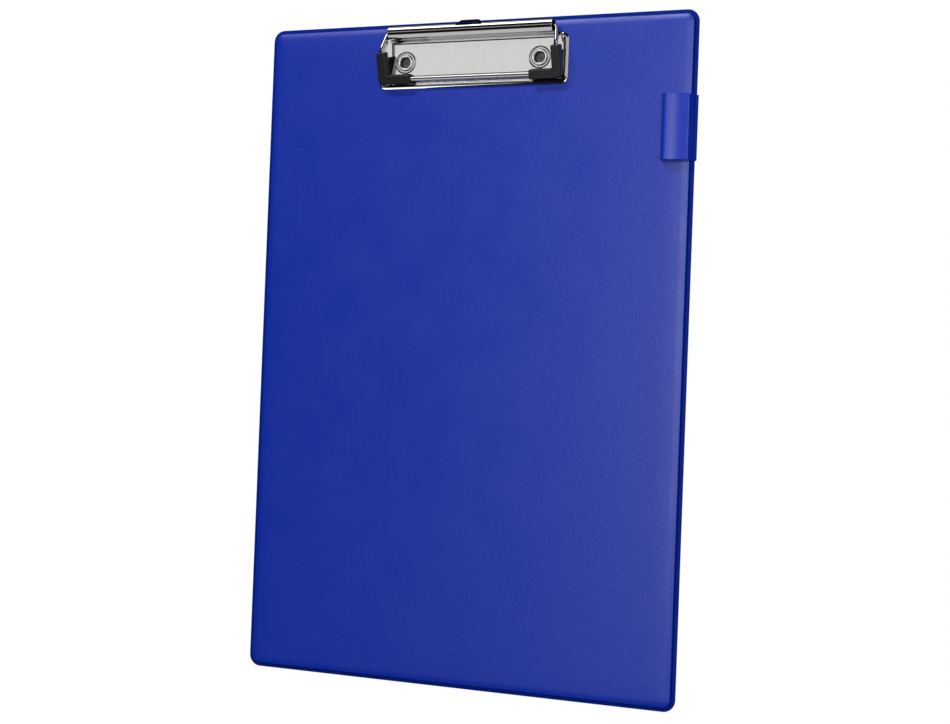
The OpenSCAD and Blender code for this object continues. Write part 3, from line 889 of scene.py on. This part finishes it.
def makeHingePlate():
    path, ease = hingePath(), hinge["ease"]
    full = ribbon(path, hinge["thickness"])
    eased = ribbon(path, hinge["thickness"] - 2 * ease)
    corner, front = hinge["panelCorner"], hinge["front"]

    def halfWidthAt(y, z):
        # the panel's front corners are rounded; the barrel runs the full width
        into = corner - (y - front)
        if into <= 0 or z > barrelZ:
            return hinge["halfWidth"]
        return hinge["halfWidth"] - corner + math.sqrt(max(corner ** 2 - into ** 2, 0))

    columns = [(-1, eased, 0), (-1, full, ease), (1, full, ease), (1, eased, 0)]
    rings = [[(side * (halfWidthAt(y, z) - back), y, z) for y, z in outline]
             for side, outline, back in columns]
    size = len(full)
    points = [p for ring in rings for p in ring]
    faces = loftFaces(len(rings), size) + stripEnd(0, size) + stripEnd(3 * size, size)
    piece = addPiece("hinge_sheet", points, faces, plateChrome)
    # each rivet's hole, and the ring that its setting tool presses round it
    coinZ = hinge["under"] + hinge["thickness"] - rivet["coinDepth"] + rivet["coinSection"]
    coin = arc((rivet["coinRadius"], coinZ), rivet["coinSection"], 0, 360, 24)[:-1]
    cutters = []
    for x in (-rivet["x"], rivet["x"]):
        at = (x, rivet["y"])
        cutters.append(tube(rivet["hole"], 3, 6, at))
        points, faces = lathe(coin, at, closed=True)
        cutters.append(addPiece("cutter", points, faces, blankMaterial))
    # the slot's lower edge runs beside the spring's wire, where it leaves its coils
    leave = math.radians(spring["leave"])
    deep = spring["coil"] + spring["wire"] / 2 + hinge["slotGap"]
    far, high = 2 * hinge["barrel"], math.radians(hinge["slotHigh"])
    wedge = [(0, 0), (deep * math.cos(leave), deep * math.sin(leave)),
             (deep * math.cos(leave) - far * math.sin(leave),
              deep * math.sin(leave) + far * math.cos(leave)),
             (far * math.cos(high), far * math.sin(high))]
    points = [(x, barrelY + y, barrelZ + z) for x in (-hinge["slot"] / 2, hinge["slot"] / 2)
              for y, z in wedge]
    cutters.append(addPiece("cutter", points, loftFaces(2, 4) + [[3, 2, 1, 0], [4, 5, 6, 7]],
                            blankMaterial))
    cutAway(piece, cutters)
    evenNormals(piece)
    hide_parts("hinge_plate")
    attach(piece, "board")
    return piece


hingeSheet = makeHingePlate()
print("hinge plate", len(hingeSheet.data.polygons))


# ---- rivets

def makeRivet(name, x, node):
    # the profile runs from the bore's floor up the wall, over the rolled rim, down the tube
    # and round the head
    r, rim, ease = rivet, rivet["rim"], rivet["ease"]
    rimZ = r["rimFoot"] + r["rimLift"]
    floor = [(0, r["floor"] - r["dimple"])] + arc((0, r["floor"]), r["dimple"], -80, 0, 8)
    floor += [(r["bore"] - ease, r["floor"])]
    wall = arc((r["bore"] - ease, r["floor"] + ease), ease, -70, 0, 4)
    roll = arc((r["bore"] + rim, rimZ), rim, 180, r["rimEnd"], 28)
    neck = [(r["tube"], r["rimFoot"]), (r["tube"], r["headThickness"])]
    head = [(r["head"] - ease, r["headThickness"]), (r["head"], r["headThickness"] - ease),
            (r["head"], 0.25), (r["head"] - 0.08, 0.08), (r["head"] - 0.3, 0), (0, 0)]
    points, faces = lathe(floor + wall + roll + neck + head, (x, r["y"]))
    piece = addPiece(name, points, faces, rivetNickel)
    piece.data.materials.append(rivetBoreAndShade)
    for face in piece.data.polygons:  # the bore, from its floor to just under the rim, in dull steel darkened partly as painted shade
        at = face.center / mm
        if math.hypot(at.x - x, at.y - r["y"]) < r["bore"] + 0.05 and 1 < at.z < rimZ - 0.3:
            face.material_index = 1
    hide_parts(node)
    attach(piece, "board")
    return piece


rivetPieces = [makeRivet("rivet_shell_left", -rivet["x"], "rivet_left"),
               makeRivet("rivet_shell_right", rivet["x"], "rivet_right")]


# ---- bail: one wire, kinked at each arm, with its ends in the barrel

bail = {
    "wire": spring["pivot"],
    "armX": basePlate["halfWidth"] - 4.5,  # the arms lie this far inside the plate's ends
    "splay": 1.3,  # how far the arms close in from the kinks to the pivots
    "leanBend": 4.0,  # where they start to close in
    "leanStart": 0.35,  # how far that is behind the kink's bend
    "pivotStart": 8.0,  # from the middle of the barrel to the wire's ends
    "bend": 2.6,  # at the pivots and the kinks, to the wire's middle
    "frontBend": 3.0,
    "reach": 23.7,  # axis to front bar
    "kinkReach": 9.0,
    "fall": 18.5,  # of the arms from the kinks to the front bar, in degrees
}
sleeve = {
    "width": 4.8,  # in the plane of the bail
    "depth": 4.8,
    "round": 0.6,
    "arm": 16.4,  # lengths from the outside of the corner
    "bar": 17.2,
    "elbow": 1.0,  # fillet inside the corner
    "bore": 2.35,
    "lift": 0.25,  # rest height over the base plate
}
fall = math.radians(bail["fall"])
bail["barZ"] = (basePlate["foot"] + basePlate["thickness"] + sleeve["lift"] + sleeve["round"]
                + (sleeve["depth"] / 2 - sleeve["round"]) * math.cos(fall)
                + (sleeve["width"] / 2 - sleeve["round"]) * math.sin(fall))
kinkZ = bail["barZ"] + (bail["reach"] - bail["kinkReach"]) * math.tan(fall)


def makeBail():
    # the arms lean outwards up to just behind the kink
    armX, back = bail["armX"], math.hypot(bail["kinkReach"], kinkZ - barrelZ)
    turn = fall + math.atan2(kinkZ - barrelZ, bail["kinkReach"])
    t = 1 - (bail["bend"] * math.tan(turn / 2) + bail["leanStart"]) / back
    half = [((bail["pivotStart"], barrelY, barrelZ), 0),
            ((armX - bail["splay"], barrelY, barrelZ), bail["bend"]),
            ((armX, barrelY - bail["kinkReach"] * t, barrelZ + (kinkZ - barrelZ) * t),
             bail["leanBend"]),
            ((armX, barrelY - bail["kinkReach"], kinkZ), bail["bend"]),
            ((armX, barrelY - bail["reach"], bail["barZ"]), bail["frontBend"])]
    whole = half + [((-x, y, z), b) for (x, y, z), b in half[::-1]]
    piece = followPath("bail_wire", wires, [p for p, _ in whole], False, {
        "Diameter": bail["wire"] * mm, "Sides": 40, "Bend steps": 16, "Material": wireChrome},
        [b for _, b in whole])
    tidyMesh(piece, 35)
    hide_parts("bail")
    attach(piece, "bail")
    return piece


bailWire = makeBail()
print("bail", len(bailWire.data.polygons))


def elbowRing(inset, z):
    # The outline of an elbow in the bail's plane, about the crossing of its two wires:
    # +X is out and +Y up the arm. Its outer corner is round, its ends are eased.
    half, r = sleeve["width"] / 2 - inset, max(sleeve["round"] - inset, 0.05)
    arm = sleeve["arm"] - sleeve["width"] / 2 - inset
    bar = -(sleeve["bar"] - sleeve["width"] / 2 - inset)
    inner = sleeve["elbow"] + inset
    ring = arc((0, 0), half, -90, 0, 20)
    ring += arc((half - r, arm - r), r, 0, 90, 6) + arc((r - half, arm - r), r, 90, 180, 6)
    ring += arc((-half - inner, half + inner), inner, 0, -90, 10)
    ring += arc((bar + r, half - r), r, 90, 180, 6) + arc((bar + r, r - half), r, 180, 270, 6)
    return [(x, y, z) for x, y in ring]


def makeSleeve(name, side, node):
    high, r = sleeve["depth"] / 2, sleeve["round"]
    levels = []
    for start, sign in ((-90, -1), (0, 1)):
        levels += [(r * (1 - math.cos(a)), sign * (high - r) + r * math.sin(a))
                   for a in (math.radians(start + 90 * i / 6) for i in range(7))]
    rings = [elbowRing(inset, z) for inset, z in levels]
    size = len(rings[0])
    points = [p for ring in rings for p in ring]
    last = len(points) - size
    faces = loftFaces(len(rings), size)
    faces += [list(range(size))[::-1], list(range(last, last + size))]
    piece = addPiece(name, points, faces, sleevePvc)
    # the wire's bore, longer than both arms
    wire = [(0, 20, 0), (0, 0, 0), (-22, 0, 0)]
    cutter = followPath("cutter", wires, wire, False, {
        "Diameter": sleeve["bore"] * mm, "Sides": 40, "Bend steps": 16, "Material": sleevePvc},
        [0, bail["frontBend"], 0])
    cutAway(piece, [cutter])
    # stand it on the bail's front corner
    tilt = Matrix.Rotation(fall, 4, "X")
    place = Matrix.Translation(Vector((bail["armX"], barrelY - bail["reach"],
                                       bail["barZ"])) * mm) @ tilt
    if side < 0:
        place = Matrix.Scale(-1, 4, (1, 0, 0)) @ place
    piece.data.transform(place)
    tidyMesh(piece, 35)
    evenNormals(piece)
    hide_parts(node)
    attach(piece, "bail")
    return piece


sleevePieces = [makeSleeve("sleeve_left", -1, "grip_sleeve_left"),
                makeSleeve("sleeve_right", 1, "grip_sleeve_right")]
print("sleeves", len(sleevePieces[0].data.polygons))


# ---- torsion spring: two coils on the bail's pivots and a loop out of the barrel's slot

def springHalf():
    # from the middle of the centre loop: its bar and corner, the coil, and the outer leg
    s, coilR, leave = spring, spring["coil"], spring["leave"]
    pitch = s["wire"] + s["turnGap"]

    def onCoil(x, angle, radius=coilR):
        a = math.radians(angle)
        return Vector((x, radius * math.cos(a), radius * math.sin(a)))

    loopX = (s["loopWidth"] - s["wire"]) / 2
    bar = onCoil(0, s["loopAngle"], s["loop"])
    into = (onCoil(0, leave) - bar).normalized()
    path = [bar]
    for i in range(7):
        a = math.radians(15 * i)
        path.append(bar + Vector((loopX - s["bend"] * (1 - math.sin(a)), 0, 0))
                    + into * s["bend"] * (1 - math.cos(a)))
    sweep = 360 * s["turns"] + (leave - s["legAngle"] + 720) % 360
    steps = math.ceil(sweep / s["step"])
    endX = loopX + pitch * sweep / 360
    endA = leave - sweep
    path += [onCoil(loopX + (endX - loopX) * i / steps, leave - sweep * i / steps)
             for i in range(steps + 1)]
    turn = math.degrees(s["bend"] / coilR)
    for i in range(1, 6):
        a = math.radians(18 * i)
        path.append(onCoil(endX + s["bend"] * (1 - math.cos(a)), endA - turn * math.sin(a)))
    path.append(onCoil(hinge["halfWidth"] - s["inset"], endA - turn))
    return [(p.x, barrelY + p.y, barrelZ + p.z) for p in path]


def makeSpring():
    right = springHalf()
    path = [(-x, y, z) for x, y, z in right[:0:-1]] + right
    piece = followPath("spring_wire", wires, path, False, {
        "Diameter": spring["wire"] * mm, "Sides": 14, "Bend steps": 1, "Material": springSteel})
    tidyMesh(piece, 40)
    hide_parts("torsion_spring")
    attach(piece, "board")
    return piece


springWire = makeSpring()
print("spring", len(springWire.data.polygons))


# ---- floor, lights and camera, in metres

stage = {
    "floor": 12,
    "drop": 0.0002,  # of the floor below the board
    "ambient": 0.01,
    "ceiling": 1.3,
}


def makeFloor():
    half = stage["floor"] / 2
    mesh = bpy.data.meshes.new("floor")
    mesh.from_pydata([(-half, -half, 0), (half, -half, 0), (half, half, 0), (-half, half, 0)],
                     [], [(0, 1, 2, 3)])
    mesh.materials.append(whiteSweep("matt white vinyl sweep"))
    floor = addObject("floor", mesh)
    floor.location.z = -stage["drop"]
    # only a backdrop: its glow does not light the board's edges from below
    floor.visible_diffuse = False
    floor.visible_glossy = False


def addSoftbox(name, centre, size, towards, strength, lit):
    # A rectangular light; strength is its brightness as the chrome sees it, 1 being white.
    # Only the pieces in lit receive it, as if the others were flagged off.
    lamp = bpy.data.lights.new(name, "AREA")
    lamp.shape = "RECTANGLE"
    lamp.size, lamp.size_y = size
    lamp.energy = math.pi * size[0] * size[1] * strength
    box = addObject(name, lamp)
    box.location = centre
    box.rotation_euler = Vector(towards).to_track_quat("-Z", "Y").to_euler()
    box.visible_camera = False
    box.light_linking.receiver_collection = lit


def gather(name, pieces):
    group = bpy.data.collections.new(name)
    for piece in pieces:
        group.objects.link(piece)
    return group


makeFloor()

world = bpy.data.worlds.new("studio")
bpy.context.scene.world = world
world.use_nodes = True
background = world.node_tree.nodes["Background"]
background.inputs["Color"].default_value = linear("#ffffff")
background.inputs["Strength"].default_value = stage["ambient"]

sheets = [baseSheet, hingeSheet, bailWire, springWire] + rivetPieces
soft = [frontFilm, backFilm, frontRibs] + sleevePieces + [core]
vinyl = gather("vinyl", soft + [penLoopStrip])
flatVinyl = gather("vinyl without the pen loop", soft)
loopOnly = gather("pen loop", [penLoopStrip])
metal = gather("metal", sheets)
curled = gather("curled and bent metal", [hingeSheet, bailWire] + rivetPieces)
plate = gather("plate", [baseSheet])
rivets = gather("rivets", rivetPieces)
ceiling, down = stage["ceiling"], (0, 0, -1)
softboxes = {  # place, size, direction, strength and the pieces that it lights
    "key": ((0.1, 0.1105, ceiling), (0.45, 0.611), down, 4.7, vinyl),
    "fill": ((0.9425, 0.2, ceiling), (0.975, 0.793), down, 3.9, flatVinyl),
    "head": ((-0.2, 0.508, ceiling), (1.3, 0.184), down, 0.35, vinyl),
    "foot": ((-0.13, -0.4225, ceiling), (0.26, 0.455), down, 1.8, vinyl),
    "low": ((-0.55, -0.4, ceiling), (0.6, 0.55), down, 0.18, vinyl),
    "crest": ((-0.45, 1.4, ceiling), (0.95, 0.3), down, 23.0, vinyl),
    "loop key": ((0.0, 0.2, ceiling), (0.3, 0.5), down, 4.0, loopOnly),
    "loop side": ((1.5, 0.3, 1.0), (0.9, 0.8), (-1, 0, 0), 5.0, loopOnly),
    "loop front": ((0.3, -1.2, 0.9), (0.9, 0.9), (0, 1, -0.6), 3.0, loopOnly),
    "rim": ((-0.65, 1.6, 0.72), (0.95, 0.92), (0, -1, 0), 3.0, metal),
    "clip": ((-0.52, 0.432, ceiling), (0.48, 0.105), down, 0.96, metal),
    "bridge": ((0.3, 0.5, ceiling), (1.16, 0.23), down, 0.58, metal),
    "right": ((0.9, 0.1, 0.65), (1.5, 1.3), (-1, 0, 0), 0.6, metal),
    "corner": ((0.9, -0.95, 0.6), (0.9, 1.2), (-1, 0.6, 0), 1.7, plate),
    "left": ((-0.21, -0.013, 0.16), (0.24, 0.3), (0, 1, 0), 1.8, plate),
    "grey": ((-0.55, -0.535, 0.56), (1.0, 1.12), (0, 1, 0), 0.68, curled),
    "sweep": ((-0.3, 0.6, 0.001), (1.6, 0.8), (0, 0, 1), 0.6, curled),
    "dome": ((0, 0, 1.25), (2.6, 2.6), down, 0.8, rivets),
}
for name, settings in softboxes.items():
    addSoftbox(name, *settings)

camera = {  # its place in millimetres and the directions of its own axes
    "place": (302.05, -16.20, 744.5),
    "right": (0.92886704, 0.03807565, -0.36845118),
    "down": (0.02992597, -0.99916517, -0.02780998),
    "forward": (-0.36920247, 0.01480551, -0.92923104),
    "lens": 59.76,
}
lensData = bpy.data.cameras.new("camera")
lensData.lens = camera["lens"]
lensData.sensor_width = 36
lensData.clip_start, lensData.clip_end = 0.01, 50
cameraObject = addObject("camera", lensData)
axes = [camera["right"], [-c for c in camera["down"]], [-c for c in camera["forward"]]]
turned = Matrix(axes).transposed().to_4x4()
cameraObject.matrix_world = Matrix.Translation(Vector(camera["place"]) * mm) @ turned
bpy.context.scene.camera = cameraObject
bpy.context.scene.view_settings.view_transform = "Standard"
print("stage set")
